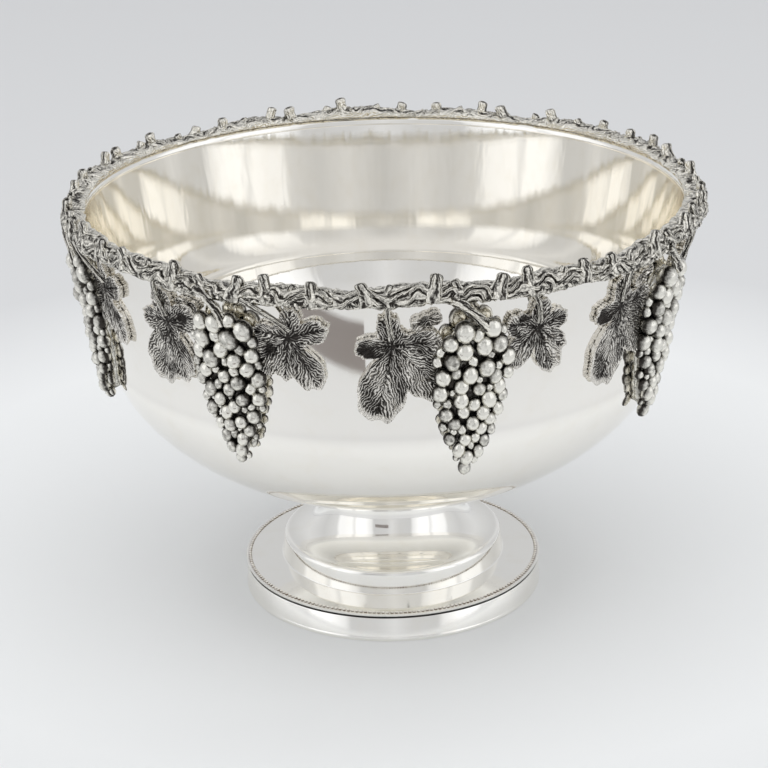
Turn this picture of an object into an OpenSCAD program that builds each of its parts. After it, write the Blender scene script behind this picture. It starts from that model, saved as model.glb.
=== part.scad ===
// Footed punch bowl. A thin spun bowl stands on a spun pedestal with a banded foot.
// A cast vine runs round the rim, and eight groups of leaf, grapes and leaf hang from it.
// Every piece is soldered to its neighbours, so nothing moves.
// Z = 0 is the table, the origin lies under the bowl's axis, and the front faces -Y.
// Azimuth 0 is the front (-Y) and grows towards +X.

/* [Bowl] */
// Outer radius of the bowl at its top edge
edge_r = 186; // [160:1:225]
// Height of the bowl's top edge above the table
edge_z = 253; // [225:1:310]
// Outer radius of the bowl at its shoulder, where the wall turns up
shoulder_r = 174; // [145:1:210]
// Height of the shoulder above the table
shoulder_z = 169; // [150:1:200]
// Height of the underside of the bowl's bottom, as the sweep of the curve gives it
bottom_z = 69; // [60:1:84]
// Thickness of the bowl's wall
bowl_wall = 1.6; // [1.2:0.1:3]

/* [Rim strip] */
// Width of the half-round strip on the bowl's edge
strip_w = 5.4; // [4:0.1:8]
// Height of the half-round strip
strip_h = 4.2; // [3:0.1:6]

/* [Vine] */
// Half the thickness of the cast vine
vine_thick = 4.4; // [3:0.1:6]
// Height of the vine's middle above the bowl's edge
vine_rise = 4; // [2:0.5:8]
// How far the vine winds up and down from its middle
vine_wander = 1.6; // [0:0.1:3]
// How far the cut twigs stand above the vine's middle
twig_h = 12; // [8:0.5:16]
// Radius of a cut twig at its root
twig_r = 3.1; // [2:0.1:4]
// Radius of the knot that a stalk hangs from
knot_r = 5.9; // [5.4:0.1:7]

/* [Grapes] */
// Length of a bunch of grapes
bunch_len = 91; // [70:1:110]
// Width of a bunch at its widest
bunch_w = 45; // [34:1:54]
// Thickness of the backing that the grapes grow from
bunch_back = 6; // [4:0.5:9]
// Radius of the grapes at the top of a bunch
grape_top_r = 4.7; // [3.5:0.1:5.5]
// Radius of the grapes at the tip of a bunch
grape_tip_r = 3.3; // [2.5:0.1:4]

/* [Leaves] */
// Size of every leaf, as a share of its drawn size
leaf_scale = 1; // [0.8:0.02:1.2]
// Thickness of a leaf
leaf_t = 2.8; // [2:0.1:4]
// How far the ribs stand above a leaf
rib_h = 0.8; // [0.4:0.1:1.5]
// Radius of the stalks
stalk_r = 2.3; // [1.6:0.1:3]

/* [Pedestal] */
// Radius of the neck
neck_r = 38; // [30:1:48]
// Height of the neck collar
collar_h = 8; // [6:0.5:10]
// Radius of the step below the flare
step_r = 66.5; // [56:0.5:74]
// Height of the step above the table
step_z = 33.5; // [29:0.5:40]
// Outer radius of the foot band
foot_r = 94.8; // [82:0.2:112]
// Height of the foot band
band_h = 15.6; // [12:0.2:20]
// Thickness of the pedestal's metal
foot_wall = 1.4; // [1:0.1:2.5]
// Radius of one bead of the beaded wire
bead_r = 1.2; // [0.9:0.05:1.5]

/* [Hidden] */
GROUPS = 8;

// Film of solder between any two pieces that are joined
solder = 0.12;
bright = [0.86, 0.86, 0.84];
aged = [0.56, 0.55, 0.53];
$fn = 64;

// ---------------------------------------------------------------- bowl profile
// Powers of the oval curve below the shoulder, across and up, and of the flare above it
bowl_across = 2.01;
bowl_up = 1.69;
bowl_flare = 1.5;
// Steps of the profile below and above the shoulder
low_steps = 26;
high_steps = 14;

function bowl_r(z) = z >= shoulder_z
    ? shoulder_r + (edge_r - shoulder_r) * pow((z - shoulder_z) / (edge_z - shoulder_z), bowl_flare)
    : shoulder_r * pow(1 - pow((shoulder_z - z) / (shoulder_z - bottom_z), bowl_up), 1 / bowl_across);
function low_z(i) = shoulder_z - (shoulder_z - bottom_z) * pow(cos(90 * i / low_steps), 2 / bowl_up);
bowl_curve = concat(
    [for (i = [0:low_steps - 1]) [bowl_r(low_z(i)), low_z(i)]],
    [for (i = [0:high_steps]) let (z = shoulder_z + (edge_z - shoulder_z) * i / high_steps) [bowl_r(z), z]]
);
last = len(bowl_curve) - 1;

// Outward direction across the profile at one of its points
function across(c, i) =
    let (v = c[min(i + 1, len(c) - 1)] - c[max(i - 1, 0)])
    [v.y, -v.x] / norm(v);
// The profile from point `from` on, moved outwards by d, with its ends kept on the axis and at the edge
function bowl_off(d, from) = [for (i = [from:last])
    i == 0 ? [0, bowl_curve[0].y - d]
    : i == last ? [edge_r + d, edge_z]
    : bowl_curve[i] + d * across(bowl_curve, i)];
function back(c) = [for (i = [len(c) - 1:-1:0]) c[i]];

module bowl_shell() {
    color(bright)
    rotate_extrude($fn = 240)
    polygon(concat(bowl_off(0, 0), back(bowl_off(-bowl_wall, 0))));
}

// A layer that lies on the bowl's wall, from lo to hi above its surface
skin_from = low_steps - 12;
module skin(lo, hi) {
    rotate_extrude($fn = 240)
    polygon(concat(bowl_off(lo, skin_from), back(bowl_off(hi, skin_from))));
}
// The bowl's outer shape filled in and grown by d
module bowl_filled(d) {
    rotate_extrude($fn = 240)
    polygon(concat(bowl_off(d, 0), [[0, edge_z]]));
}

// ---------------------------------------------------------------- rim strip
strip_r = edge_r - bowl_wall / 2;
strip_out = strip_r + strip_w / 2;

module rim_strip() {
    color(bright)
    rotate_extrude()
    translate([strip_r, edge_z + solder])
    polygon([for (i = [0:16]) [strip_w / 2 * cos(180 * i / 16), strip_h * sin(180 * i / 16)]]);
}

// ---------------------------------------------------------------- places on the bowl
vine_r = strip_out + 0.6 * vine_thick;
vine_z = edge_z + vine_rise;
// The height that no leaf, bunch or leaflet passes, so that the vine stays clear of them
hang_z = vine_z - 1.16 * vine_thick - vine_wander - solder;
group_turn = 360 / GROUPS;
first_az = 14;

// The groups come in two castings, used in pairs round the rim: kind 0 and kind 1
function kind(n) = floor((n - 1) / 2) % 2;
function group_az(n) = first_az + group_turn * (n - 1);
// Degrees round the bowl that an arc of s takes at height z
function arc(s, z) = s / bowl_r(z) * 180 / PI;
// A point s to the right of azimuth az, h above the vine's middle and lift off the wall
function on_bowl(az, s, h, lift) =
    let (z = vine_z + h, r = bowl_r(min(z, edge_z)) + lift, a = az + arc(s, min(z, edge_z)))
    [r * sin(a), -r * cos(a), z];

// ---------------------------------------------------------------- vine
// The cast vine is all flat facets: round its tube and along it, round a twig and round a knot
sides = 14;
rings = 22;
twig_sides = 10;
knot_sides = 12;

// The waves of the vine come an even number of times round the rim, so that its two halves match
function vine_dz(a) = vine_wander * (0.6 * sin(6 * a + 40) + 0.4 * sin(14 * a));
function vine_fat(a) = vine_thick * (1 + 0.1 * sin(16 * a) + 0.06 * sin(28 * a + 70));
function vine_point(a, k) =
    let (p = 360 * k / sides,
         fat = vine_fat(a) * (1 + 0.1 * sin(3 * p + 8 * a)),
         r = max(vine_r + fat * cos(p), strip_out + solder))
    [r * sin(a), -r * cos(a), vine_z + vine_dz(a) + fat * sin(p)];

// A tube through rings of points, closed at both ends
module tube(points, n_rings) {
    side = [for (i = [0:n_rings - 2], k = [0:sides - 1])
        let (a = i * sides + k, b = i * sides + (k + 1) % sides)
        each [[a, b, a + sides], [b, b + sides, a + sides]]];
    first_end = [for (k = [sides - 1:-1:0]) k];
    last_end = [for (k = [0:sides - 1]) (n_rings - 1) * sides + k];
    polyhedron(points, concat(side, [first_end, last_end]));
}

// A point in the middle of the vine's height at azimuth a, `size` clear of the rim strip
function beside_strip(a, size) =
    let (r = strip_out + solder + size)
    [r * sin(a), -r * cos(a), vine_z + vine_dz(a)];
// Radius of a twig's cut end, as a share of its root's
twig_taper = 0.8;

// A twig cut off short, leaning by `lean` along the vine
module twig(a, lean, h) {
    translate(beside_strip(a, twig_r))
    rotate([0, lean, a])
    cylinder(h = h, r1 = twig_r, r2 = twig_taper * twig_r, $fn = twig_sides);
}

module vine_length(n) {
    half = group_turn / 2 - arc(solder / 2, edge_z);
    mid = group_az(n);
    // Azimuth from the middle, lean and height of each cut twig
    twigs = [[-17, -14, 0.8], [-9, 10, 1], [0.5, -8, 0.85], [6, 12, 1], [14, -10, 0.9], [19, 6, 0.75]];
    color(aged)
    union() {
        tube([for (i = [0:rings - 1], k = [0:sides - 1])
            vine_point(mid - half + 2 * half * i / (rings - 1), k)], rings);
        for (t = twigs) twig(mid + t[0], t[1], twig_h * t[2]);
        for (k = knots(n)) knot(mid + k);
    }
}

// A round swelling that a stalk hangs from
module knot(a) {
    translate(beside_strip(a, knot_r)) sphere(r = knot_r, $fn = knot_sides);
}

// ---------------------------------------------------------------- stalks
ball_r = 1.15 * stalk_r;
// Room under the lower end of a stalk
under_stalk = 0.5;
// Height of the lower end of a stalk above the wall
stalk_lift = ball_r + solder + under_stalk;

// A straight stalk from p to q, turned in one piece with a round swelling at both ends
module stalk(p, q) {
    v = q - p;
    translate(p)
    rotate([0, acos(v.z / norm(v)), atan2(v.y, v.x)])
    rotate_extrude()
    intersection() {
        union() {
            square([stalk_r, norm(v)]);
            circle(r = ball_r);
            translate([0, norm(v)]) circle(r = ball_r);
        }
        translate([0, -ball_r]) square([ball_r, norm(v) + 2 * ball_r]);
    }
}
// The upper end of a stalk, one film of solder below the knot at azimuth a
function below_knot(a) = beside_strip(a, knot_r) - [0, 0, knot_r + solder + ball_r];

// ---------------------------------------------------------------- outlines
// A flat shape, drawn about the point s to the right and h above, pushed out through the wall
reach = [0.6, 1.3];
module aim(az, s, h) {
    rotate([0, 0, az + arc(s, edge_z)])
    translate([0, 0, vine_z + h])
    rotate([90, 0, 0])
    translate([0, 0, reach[0] * edge_r])
    linear_extrude(height = (reach[1] - reach[0]) * edge_r)
    children();
}

// Middle of a bunch, to the right of its group's azimuth, and the height of its top, for each kind
bunch_s = [1, 7.5];
bunch_top = [-16, -14];
// How far the tip of a bunch leans to the right of its middle, for each kind
bunch_lean = [-2, 2];
// Where along its length a bunch is widest, and the powers of its curve above and below that
bunch_peak = 0.33;
bunch_blunt = 0.35;
bunch_taper = 0.7;
outline_steps = 16;

function bunch_half(u) = bunch_w / 2
    * pow(u / bunch_peak, bunch_blunt) * pow((1 - u) / (1 - bunch_peak), bunch_taper);
function bunch_mid(k, u) = bunch_lean[k] * (2 * u - 1);
function bunch_side(k, side, grow) = [for (i = [0:outline_steps])
    let (u = (1 - cos(180 * i / outline_steps)) / 2)
    [bunch_mid(k, u) + side * (bunch_half(u) + grow), grow - (bunch_len + 2 * grow) * u]];
module bunch_outline(k, grow) {
    polygon(concat(bunch_side(k, 1, grow), back(bunch_side(k, -1, grow))));
}

// ---------------------------------------------------------------- grapes
// Distance between two grapes in a row, as a share of their size
room = 1.03;
// How far the lowest grape stays above the tip, as a share of its radius
tip_room = 1.6;
// How far a grape stands out of the backing at a row's ends, and how much more in its middle
grape_out = 0.2;
grape_crown = 0.5;

function grape_r(u) = grape_top_r + (grape_tip_r - grape_top_r) * u;
// Rows of grapes from the top down, each clear of the row above it
function rows(u) = u > 1 - tip_room * grape_tip_r / bunch_len ? []
    : concat([u], rows(u + 2 * room * grape_r(u) / bunch_len));
function row_count(u) = max(1, floor(bunch_half(u) / (room * grape_r(u))));

// Flat-faced backing: its face is a chain of planes that keeps bunch_back off the wall
module bunch_backing(k) {
    face_step = 4;
    face = [for (i = [skin_from:face_step:last]) bowl_curve[i] + bunch_back * across(bowl_curve, i)];
    deep = reach[0] * edge_r;
    rotate([0, 0, arc(bunch_s[k], edge_z)])
    rotate([90, 0, 90])
    linear_extrude(height = 2 * bunch_w, center = true)
    polygon(concat(
        [[-deep, face[0].y]],
        [for (p = face) [-p.x, p.y]],
        [[-face[len(face) - 1].x, edge_z + 1], [-deep, edge_z + 1]]
    ));
}

module grape_bunch(n) {
    k = kind(n);
    color(aged)
    rotate([0, 0, group_az(n)])
    union() {
        difference() {
            intersection() {
                aim(0, bunch_s[k], bunch_top[k]) bunch_outline(k, 0);
                bunch_backing(k);
            }
            bowl_filled(solder);
        }
        for (u = rows(grape_top_r / bunch_len)) {
            r = grape_r(u);
            count = row_count(u);
            for (j = [0:count - 1]) {
                s = (j - (count - 1) / 2) * 2 * room * r;
                crown = 1 - pow(s / bunch_half(u), 2);
                translate(on_bowl(0, bunch_s[k] + bunch_mid(k, u) + s, bunch_top[k] - bunch_len * u,
                    bunch_back + r * (grape_out + grape_crown * crown)))
                sphere(r = r);
            }
        }
    }
}

module bunch_stalk(n) {
    k = kind(n);
    az = group_az(n);
    end_s = bunch_s[k] - bunch_lean[k];
    color(aged)
    stalk(
        below_knot(az + bunch_knot[k]),
        on_bowl(az, end_s, bunch_top[k] + ball_r + solder, stalk_lift)
    );
}

// ---------------------------------------------------------------- leaves
// Azimuth, from the group's own, of the knots over the bunch, for each kind
bunch_knot = [-2.4, -0.6];
// A leaf is [s and h of its heart, azimuth of its knot, lobes], and a lobe is
// [direction in degrees, length, half the angle that it spans]
left_leaf = [
    [[-43, -29], -13.4, [[100, 19, 45], [188, 20, 42], [258, 48, 36], [312, 43, 36], [2, 28, 38]]],
    [[-36, -29], -11, [[95, 22, 48], [180, 20, 46], [252, 41, 42], [285, 36, 36], [20, 26, 44]]]
];
right_leaf = [
    [[41, -27], 9.6, [[165, 21, 44], [85, 18, 42], [15, 19, 42], [318, 24, 34], [293, 31, 34], [228, 29, 38]]],
    [[45, -26], 12.4, [[80, 19, 40], [18, 24, 38], [297, 34, 34], [262, 26, 34], [222, 31, 44], [172, 21, 38]]]
];
// A leaflet is a single lobe on a short stalk
leaflet = [
    [[-24.5, -15], -7.2, [[200, 9, 60], [20, 9, 60]]],
    [[-17.5, -14.5], -5, [[170, 8, 60], [350, 8, 60]]]
];
// Smallest radius of a leaf between its lobes
leaf_waist = 11;
leaflet_waist = 3.6;
// Room between a leaf and what stands beside it
leaf_gap = 0.4;

function knots(n) = let (k = kind(n))
    [left_leaf[k][1], leaflet[k][1], bunch_knot[k], right_leaf[k][1]];

function turn_between(a, b) = abs((a - b + 540) % 360 - 180);
function lobe_r(lobe, a) =
    let (u = turn_between(a, lobe[0]) / lobe[2])
    u < 1 ? lobe[1] * sqrt(cos(90 * u)) : 0;
function leaf_edge(lobes, waist, a) = leaf_scale * max(waist, max([for (l = lobes) lobe_r(l, a)]));

leaf_steps = 60;
module leaf_outline(leaf, waist, grow = 0) {
    top = hang_z - vine_z - leaf[0][1];
    polygon([for (i = [0:leaf_steps - 1])
        let (a = 360 * i / leaf_steps, r = grow + leaf_edge(leaf[2], waist, a))
        [r * cos(a), min(r * sin(a), top)]]);
}
// What stands beside a leaf: the bunch, and over a left leaf the leaflet too
module neighbours(k, az, over, gap) {
    aim(az, bunch_s[k], bunch_top[k]) bunch_outline(k, gap);
    if (over) aim(az, leaflet[k][0][0], leaflet[k][0][1]) leaf_outline(leaflet[k], leaflet_waist, gap);
}
// Half the width of a rib at its root and at its end, and how much of its lobe it crosses
rib_root = 0.9;
rib_end = 0.4;
rib_reach = 0.8;
// Ribs from the leaf's heart along each lobe
module leaf_ribs(leaf) {
    for (l = leaf[2])
        let (reach = rib_reach * leaf_scale * l[1])
        rotate(l[0])
        polygon([[0, rib_root], [0, -rib_root], [reach, -rib_end], [reach, rib_end]]);
}

module leaf_stalk(n, leaf) {
    az = group_az(n);
    stalk(below_knot(az + leaf[1]), on_bowl(az, leaf[0][0], leaf[0][1], stalk_lift));
}
// A leaf with ribs, cut back where the bunch and the leaflet stand
module leaf_piece(n, leaf, over) {
    k = kind(n);
    az = group_az(n);
    at = leaf[0];
    color(aged)
    union() {
        intersection() {
            difference() {
                aim(az, at[0], at[1]) leaf_outline(leaf, leaf_waist);
                neighbours(k, az, over, leaf_gap);
            }
            skin(solder, leaf_t);
        }
        intersection() {
            difference() {
                aim(az, at[0], at[1]) leaf_ribs(leaf);
                neighbours(k, az, over, leaf_gap + rib_h);
            }
            skin(leaf_t / 2, leaf_t + rib_h);
        }
        leaf_stalk(n, leaf);
    }
}

module leaf_left(n) leaf_piece(n, left_leaf[kind(n)], true);
module leaf_right(n) leaf_piece(n, right_leaf[kind(n)], false);
module leaflet_piece(n) {
    leaf = leaflet[kind(n)];
    color(aged)
    union() {
        intersection() {
            aim(group_az(n), leaf[0][0], leaf[0][1]) leaf_outline(leaf, leaflet_waist);
            skin(solder, leaf_t);
        }
        leaf_stalk(n, leaf);
    }
}

// ---------------------------------------------------------------- foot
function bowl_under(r) = shoulder_z - (shoulder_z - bottom_z)
    * pow(1 - pow(r / shoulder_r, bowl_across), 1 / bowl_up);
// Thickness of the collar, and how far its ends flare out from its middle
collar_wall = 3;
collar_flare = 1.2;
collar_foot = bowl_under(neck_r) - collar_h;
collar_steps = 8;

module neck_collar() {
    seat_r = neck_r + collar_flare;
    color(bright)
    rotate_extrude()
    polygon(concat(
        [for (i = [0:collar_steps])
            let (u = i / collar_steps)
            [neck_r + collar_flare * pow(2 * u - 1, 2), collar_foot + u * (bowl_under(seat_r) - solder - collar_foot)]],
        [for (i = [1:collar_steps])
            let (r = seat_r - (collar_wall + collar_flare) * i / collar_steps)
            [r, bowl_under(r) - solder]],
        [[neck_r - collar_wall, collar_foot]]
    ));
}

// Radius of the rounded step, of the hollow below the riser, and how far the riser leans out
lip_r = 2;
fillet_r = 2.4;
riser_lean = 1.2;
// How far the flange falls from the riser to its edge
flange_fall = 1.6;
flange_out = foot_r + 0.3;
flange_z = band_h + solder + foot_wall;
riser_r = step_r + lip_r + riser_lean;
flare_top = collar_foot - solder;

function flange_top(r) = flange_z + flange_fall * (flange_out - r) / (flange_out - riser_r - fillet_r);
pedestal_curve = concat(
    [for (t = [0:5:90])
        [step_r - (step_r - neck_r) * cos(t), flare_top - (flare_top - step_z) * sin(t)]],
    [for (t = [15:15:90]) [step_r + lip_r * sin(t), step_z - lip_r + lip_r * cos(t)]],
    [for (t = [0:15:90])
        [riser_r + fillet_r * (1 - cos(t)), flange_z + flange_fall + fillet_r * (1 - sin(t))]],
    [[flange_out, flange_z]]
);

module pedestal() {
    c = pedestal_curve;
    end = len(c) - 1;
    inner = [for (i = [0:end]) i == 0 ? c[0] - [foot_wall, 0]
        : i == end ? c[end] - [0, foot_wall]
        : c[i] + foot_wall * across(c, i)];
    color(bright)
    rotate_extrude()
    polygon(concat(c, back(inner)));
}

// Distance between two beads, as a share of their size, and how far a bead stands on its strip
bead_room = 1.1;
bead_out = 0.2;
// Gap that the die leaves between a bead and the fine line beside it
bead_side = 0.05;
// Thickness of the strip under the beads
strip_base = 0.7;
// Width of the fine line along each edge of the strip, its height, its flat top and its bevel
edge_line = 0.9;
line_h = 0.4;
line_top = 0.4;
line_bevel = 0.2;
bead_mid = foot_r - bead_r - edge_line;

module beaded_wire() {
    half = bead_r + edge_line;
    floor_z = flange_top(bead_mid - half) + solder + strip_base;
    count = floor(PI * bead_mid / (bead_room * bead_r));
    color(bright)
    union() {
        rotate_extrude()
        polygon([
            [bead_mid - half, flange_top(bead_mid - half) + solder],
            [bead_mid + half, flange_top(bead_mid + half) + solder],
            [bead_mid + half, floor_z + line_h - line_bevel],
            [bead_mid + half - line_bevel, floor_z + line_h],
            [bead_mid + half - line_bevel - line_top, floor_z + line_h],
            [bead_mid + bead_r, floor_z],
            [bead_mid - bead_r, floor_z],
            [bead_mid - half + line_bevel + line_top, floor_z + line_h],
            [bead_mid - half + line_bevel, floor_z + line_h],
            [bead_mid - half, floor_z + line_h - line_bevel]
        ]);
        for (i = [0:count - 1])
            rotate([0, 0, 360 * i / count])
            translate([bead_mid, 0, floor_z + bead_out * bead_r])
            sphere(r = bead_r - bead_side, $fn = 24);
    }
}

// How far the band's bottom edge flares, and the width and height of its turned-in rim
foot_flare = 0.6;
foot_rim = 3;

module foot_band() {
    color(bright)
    rotate_extrude()
    polygon([
        [foot_r - foot_wall, band_h],
        [foot_r, band_h],
        [foot_r, foot_rim],
        [foot_r + foot_flare, foot_rim / 3],
        [foot_r + foot_flare, 0],
        [foot_r - foot_rim, 0],
        [foot_r - foot_rim, foot_rim / 2],
        [foot_r - foot_wall, foot_rim]
    ]);
}

bowl_shell();
rim_strip();
neck_collar();
pedestal();
beaded_wire();
foot_band();
for (n = [1:GROUPS]) {
    vine_length(n);
    grape_bunch(n);
    bunch_stalk(n);
    leaf_left(n);
    leaf_right(n);
    leaflet_piece(n);
}
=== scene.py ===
import math
import random

import bmesh
import bpy
import numpy as np
from mathutils import Matrix, Vector


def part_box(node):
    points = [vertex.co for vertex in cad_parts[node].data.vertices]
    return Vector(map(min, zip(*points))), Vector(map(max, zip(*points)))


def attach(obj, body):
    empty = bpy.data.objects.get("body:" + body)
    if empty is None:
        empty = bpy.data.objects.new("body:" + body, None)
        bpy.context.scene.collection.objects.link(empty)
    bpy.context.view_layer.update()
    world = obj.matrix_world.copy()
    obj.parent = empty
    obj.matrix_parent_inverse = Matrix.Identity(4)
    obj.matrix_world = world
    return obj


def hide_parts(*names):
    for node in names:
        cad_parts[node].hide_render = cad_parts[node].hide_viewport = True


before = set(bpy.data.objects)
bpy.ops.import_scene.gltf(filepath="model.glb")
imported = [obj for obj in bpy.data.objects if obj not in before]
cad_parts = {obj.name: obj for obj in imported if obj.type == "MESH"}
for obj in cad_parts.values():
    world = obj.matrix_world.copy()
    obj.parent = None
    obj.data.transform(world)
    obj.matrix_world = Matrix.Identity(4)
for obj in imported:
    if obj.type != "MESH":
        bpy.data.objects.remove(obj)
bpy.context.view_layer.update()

mm = 0.001
full_turn = 2 * math.pi

# ---------------------------------------------------------------- pedestal
# The pedestal is one disc of nickel silver, spun over a chuck into a flare, a rounded step, a
# riser and a sloping flange, then silver plated and buffed on a wheel. The bowl's collar is
# soldered on its narrow end and the foot band under its flange.
pedestal_low, pedestal_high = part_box("pedestal")
foot_wall = 1.4 * mm
neck_r = 38 * mm
step_r = 66.5 * mm
step_z = 33.5 * mm
lip_r = 2 * mm
riser_lean = 1.2 * mm
fillet_r = 2.4 * mm
flange_fall = 1.6 * mm
lip_start = 11
pedestal_steps = 192
flange_out = pedestal_high.x
flange_z = pedestal_low.z + foot_wall
flare_top = pedestal_high.z
riser_r = step_r + lip_r + riser_lean


def turns(low, high, count):
    """The angles of an arc in radians, from low to high degrees, as count + 1 steps."""
    return [math.radians(low + (high - low) * i / count) for i in range(count + 1)]


def inside(line, wall):
    """The line of (radius, height) points moved inwards by the metal's thickness, going back."""
    moved = []
    for i, point in enumerate(line):
        before = Vector(line[max(i - 1, 0)])
        after = Vector(line[min(i + 1, len(line) - 1)])
        along = (after - before).normalized()
        moved.append((point[0] - along.y * wall, point[1] + along.x * wall))
    return moved[::-1]


def spun(outline, steps, closed=True):
    """Spins an outline of (radius, height) points once round the bowl's axis."""
    bm = bmesh.new()
    corners = [bm.verts.new((r, 0, z)) for r, z in outline]
    ends = corners[1:] + corners[:1] if closed else corners[1:]
    lines = [bm.edges.new(pair) for pair in zip(corners, ends)]
    bmesh.ops.spin(
        bm, geom=corners + lines, cent=(0, 0, 0), axis=(0, 0, 1),
        angle=full_turn, steps=steps, use_merge=True,
    )
    bmesh.ops.remove_doubles(bm, verts=bm.verts, dist=0.002 * mm)
    return bm


def made(name, bm, material, slot, *nodes, sharp=35):
    """Makes a piece of a bmesh, smooth but for its sharp edges, and fixes it to the bowl."""
    bmesh.ops.recalc_face_normals(bm, faces=bm.faces)
    mesh = bpy.data.meshes.new(name)
    bm.to_mesh(mesh)
    bm.free()
    mesh.shade_smooth()
    mesh.set_sharp_from_angle(angle=math.radians(sharp))
    mesh.materials.append(material)
    piece = bpy.data.objects.new(name, mesh)
    bpy.context.scene.collection.objects.link(piece)
    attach(piece, "root")
    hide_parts(*nodes)
    return piece


def shader(name, colour, roughness):
    """A new metal material. Gives its node tree and its shader."""
    material = bpy.data.materials.new(name)
    material.use_nodes = True
    tree = material.node_tree
    metal = tree.nodes["Principled BSDF"]
    metal.inputs["Base Color"].default_value = (*colour, 1)
    metal.inputs["Metallic"].default_value = 1
    metal.inputs["Roughness"].default_value = roughness
    return material, tree, metal


def add(tree, kind, **values):
    """A new node, with its options and inputs set by name."""
    node = tree.nodes.new(kind)
    for name, value in values.items():
        if hasattr(node, name):
            setattr(node, name, value)
        else:
            node.inputs[name.replace("_", " ")].default_value = value
    return node


def spread(tree, source, low, high, to_low, to_high):
    """Turns a value from low..high into to_low..to_high."""
    node = add(tree, "ShaderNodeMapRange", From_Min=low, From_Max=high, To_Min=to_low, To_Max=to_high)
    tree.links.new(source, node.inputs["Value"])
    return node.outputs["Result"]


def bumped(tree, height, distance, under=None):
    """A bump of that depth from a height, laid over another bump."""
    node = add(tree, "ShaderNodeBump", Distance=distance, Strength=1.0)
    tree.links.new(height, node.inputs["Height"])
    if under:
        tree.links.new(under, node.inputs["Normal"])
    return node.outputs["Normal"]


def polished_silver(name, colour, roughness, wave, wave_size, streak):
    """Buffed silver plate: slow waves and upright streaks of the spun sheet, fine wheel lines and a
    little haze. The streaks are strong where the metal faces the middle of the bowl's mouth, as
    the bowl's inside does, and faint elsewhere."""
    material, tree, metal = shader(name, colour, roughness)
    place = add(tree, "ShaderNodeTexCoord").outputs["Object"]
    waves = add(tree, "ShaderNodeTexNoise", Scale=1 / wave_size, Detail=1.0, Roughness=0.4)
    lines = add(tree, "ShaderNodeTexWave", wave_type="BANDS", bands_direction="Z", Scale=900.0,
                Distortion=2.0, Detail=2.0, Detail_Scale=3.0)
    haze = add(tree, "ShaderNodeTexNoise", Scale=60.0, Detail=5.0, Roughness=0.6)
    upright = add(tree, "ShaderNodeMapping", Scale=(1, 1, 0.16))
    streaks = add(tree, "ShaderNodeTexNoise", Scale=70.0, Detail=2.0, Roughness=0.5, Distortion=0.3)
    for node in (waves, lines, haze, upright):
        tree.links.new(place, node.inputs["Vector"])
    tree.links.new(upright.outputs["Vector"], streaks.inputs["Vector"])
    rough = spread(tree, haze.outputs["Fac"], 0.35, 0.7, roughness, 2.2 * roughness)
    tree.links.new(rough, metal.inputs["Roughness"])
    # A thin yellow tarnish where the haze is thickest
    yellowed = (0.9 * colour[0], 0.86 * colour[1], 0.77 * colour[2], 1)
    tint = add(tree, "ShaderNodeMix", data_type="RGBA", A=(*colour, 1), B=yellowed)
    tree.links.new(spread(tree, haze.outputs["Fac"], 0.5, 0.8, 0.0, 0.25), tint.inputs["Factor"])
    tree.links.new(tint.outputs["Result"], metal.inputs["Base Color"])
    from_mouth = add(tree, "ShaderNodeVectorMath", operation="SUBTRACT")
    tree.links.new(place, from_mouth.inputs[0])
    from_mouth.inputs[1].default_value = (0, 0, 300 * mm)
    facing = add(tree, "ShaderNodeVectorMath", operation="DOT_PRODUCT")
    tree.links.new(from_mouth.outputs["Vector"], facing.inputs[0])
    tree.links.new(add(tree, "ShaderNodeTexCoord").outputs["Normal"], facing.inputs[1])
    wavy = bumped(tree, streaks.outputs["Fac"], streak, bumped(tree, waves.outputs["Fac"], wave))
    strength = spread(tree, facing.outputs["Value"], -0.02, 0.02, 1.0, 0.08)
    tree.links.new(strength, wavy.node.inputs["Strength"])
    tree.links.new(bumped(tree, lines.outputs["Fac"], 0.0006 * mm, wavy), metal.inputs["Normal"])
    return material


foot_silver = polished_silver(
    "foot_silver", (0.95, 0.935, 0.895), roughness=0.045, wave=0.06 * mm, wave_size=25 * mm,
    streak=0.01 * mm,
)
flare = [
    (step_r - (step_r - neck_r) * math.cos(t), flare_top - (flare_top - step_z) * math.sin(t))
    for t in turns(0, 90, 30)
]
lip = [
    (step_r + lip_r * math.sin(t), step_z - lip_r + lip_r * math.cos(t))
    for t in turns(lip_start, 90, 8)
]
hollow = [
    (riser_r + fillet_r * (1 - math.cos(t)), flange_z + flange_fall + fillet_r * (1 - math.sin(t)))
    for t in turns(0, 90, 8)
]
pedestal_line = flare + lip + hollow + [(flange_out, flange_z)]
made(
    "pedestal_spinning", spun(pedestal_line + inside(pedestal_line, foot_wall), pedestal_steps),
    foot_silver, "bright_plate", "pedestal",
)

# ---------------------------------------------------------------- foot band
# A plain drawn band, soldered under the flange. Its lower edge flares a little and turns in to a
# flat ring that stands on the table.
band_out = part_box("foot_band")[1].x
band_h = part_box("foot_band")[1].z
band_flare = 0.6 * mm
band_r = band_out - band_flare
band_rim = 3 * mm
band_round = 0.4 * mm
band_bend = 0.7 * mm
band_bevel = 0.15 * mm
band_line = [
    (band_r - 0.1 * mm, band_h), (band_r, band_h - band_bevel), (band_r, band_rim),
    (band_r + band_bend / 2, band_rim - band_bend), (band_out, band_rim / 3),
    (band_out, band_round), (band_out - band_round, 0),
    (band_r - band_rim, 0), (band_r - band_rim, band_rim / 2),
    (band_r - foot_wall, band_rim), (band_r - foot_wall, band_h),
]
made("foot_band_ring", spun(band_line, pedestal_steps), foot_silver, "bright_plate", "foot_band")

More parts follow.
